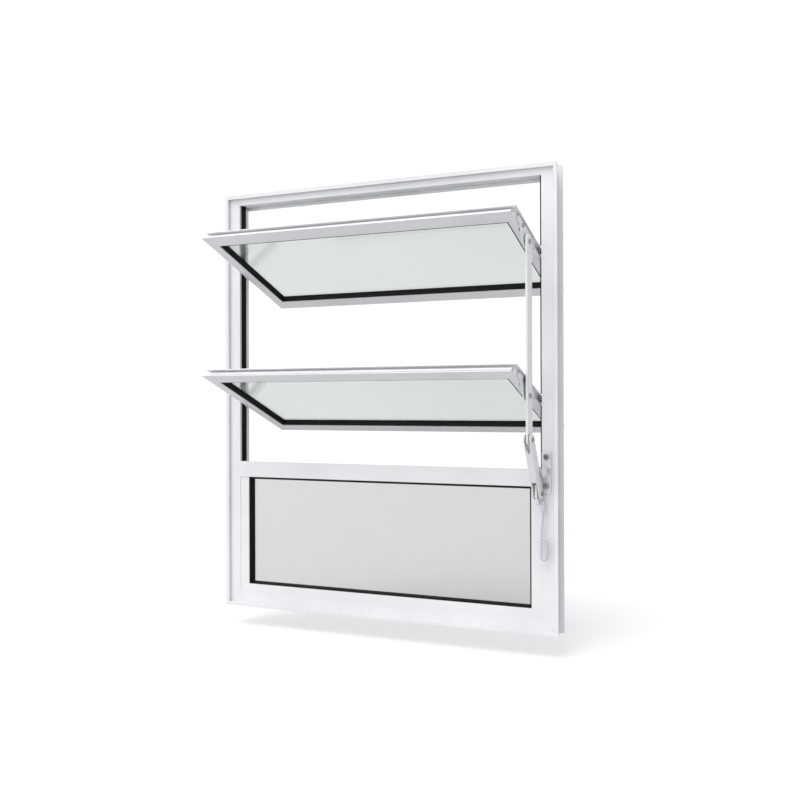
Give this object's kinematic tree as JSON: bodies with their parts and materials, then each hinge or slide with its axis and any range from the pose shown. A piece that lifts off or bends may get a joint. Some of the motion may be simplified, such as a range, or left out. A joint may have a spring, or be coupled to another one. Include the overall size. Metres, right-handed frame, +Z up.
{
  "type": "pivot sash window with crank",
  "caption": "White aluminium window with pivoting glass sashes above a fixed pane, linked by a rod and worked by a crank with a wire pull handle.",
  "frame": {"origin": "middle of the sill channel's bedding face, at half the frame's depth", "axes": "+X along the width towards the crank side, +Y out of doors, +Z up"},
  "size_m": [0.52, 0.1797, 0.6],
  "materials": {
    "white_coated_aluminium": "white powder coat, satin",
    "white_coated_steel": "white powder coat, satin",
    "clear_glass": "polished",
    "black_gasket_rubber": "matte",
    "black_pile": "brushed pile",
    "black_nylon": "matte moulded",
    "zinc_steel": "zinc plated"
  },
  "bodies": {
    "frame": {"bracket_screws": "zinc_steel", "crank_bracket": "white_coated_steel", "crank_pivot_pin": "zinc_steel", "head_rail": "white_coated_aluminium", "left_jamb": "white_coated_aluminium", "left_lower_brush_seal": "black_pile", "left_middle_brush_seal": "black_pile", "left_upper_brush_seal": "black_pile", "lower_left_pivot_bush": "black_nylon", "lower_right_pivot_bush": "black_nylon", "pane_bottom_rail": "white_coated_aluminium", "pane_front_gasket": "black_gasket_rubber", "pane_glass": "clear_glass", "pane_left_bead": "white_coated_aluminium", "pane_rear_gasket": "black_gasket_rubber", "pane_right_bead": "white_coated_aluminium", "right_jamb": "white_coated_aluminium", "right_lower_brush_seal": "black_pile", "right_middle_brush_seal": "black_pile", "right_upper_brush_seal": "black_pile", "sill_rail": "white_coated_aluminium", "transom": "white_coated_aluminium", "upper_left_pivot_bush": "black_nylon", "upper_right_pivot_bush": "black_nylon"},
    "connecting_rod": {"connecting_rod": "white_coated_steel"},
    "crank": {"crank_plate": "white_coated_steel", "pull_handle": "white_coated_steel"},
    "drive_link": {"drive_link": "white_coated_steel", "drive_link_rivets": "zinc_steel"},
    "lower_sash": {"lower_bracket_rivets": "zinc_steel", "lower_left_pivot_pin": "zinc_steel", "lower_link_bracket": "white_coated_steel", "lower_link_pin": "zinc_steel", "lower_right_pivot_pin": "zinc_steel", "lower_sash_bottom_rail": "white_coated_aluminium", "lower_sash_front_gasket": "black_gasket_rubber", "lower_sash_glass": "clear_glass", "lower_sash_left_stile": "white_coated_aluminium", "lower_sash_rear_gasket": "black_gasket_rubber", "lower_sash_right_stile": "white_coated_aluminium", "lower_sash_top_rail": "white_coated_aluminium"},
    "upper_sash": {"upper_bracket_rivets": "zinc_steel", "upper_left_pivot_pin": "zinc_steel", "upper_link_bracket": "white_coated_steel", "upper_link_pin": "zinc_steel", "upper_right_pivot_pin": "zinc_steel", "upper_sash_bottom_rail": "white_coated_aluminium", "upper_sash_front_gasket": "black_gasket_rubber", "upper_sash_glass": "clear_glass", "upper_sash_left_stile": "white_coated_aluminium", "upper_sash_rear_gasket": "black_gasket_rubber", "upper_sash_right_stile": "white_coated_aluminium", "upper_sash_top_rail": "white_coated_aluminium"}
  },
  "joints": [
    {"name": "upper_sash_pivot", "type": "hinge", "parent": "frame", "child": "upper_sash", "pos_m": [0, 0, 0.4805], "axis": [1, 0, 0], "range_deg": [-65, 0]},
    {"name": "lower_sash_pivot", "type": "hinge", "parent": "frame", "child": "lower_sash", "pos_m": [0, 0, 0.2909], "axis": [1, 0, 0], "range_deg": [-65, 0]},
    {"name": "rod_pivot", "type": "hinge", "parent": "upper_sash", "child": "connecting_rod", "pos_m": [0.235, -0.0456, 0.48588], "axis": [1, 0, 0], "range_deg": [0, 65]},
    {"name": "link_pivot", "type": "hinge", "parent": "connecting_rod", "child": "drive_link", "pos_m": [0.235, -0.0456, 0.242], "axis": [1, 0, 0], "range_deg": [-45.56, 0]},
    {"name": "crank_pivot", "type": "hinge", "parent": "frame", "child": "crank", "pos_m": [0.235, -0.017, 0.2], "axis": [1, 0, 0], "range_deg": [-114.73, 0]}
  ],
  "couplings": [
    {"joint": "lower_sash_pivot", "follows": "upper_sash_pivot", "ratio": 1},
    {"joint": "rod_pivot", "follows": "upper_sash_pivot", "ratio": -1},
    {"joint": "link_pivot", "follows": "upper_sash_pivot", "ratio": 0.7009},
    {"joint": "crank_pivot", "follows": "upper_sash_pivot", "ratio": 1.7647}
  ]
}
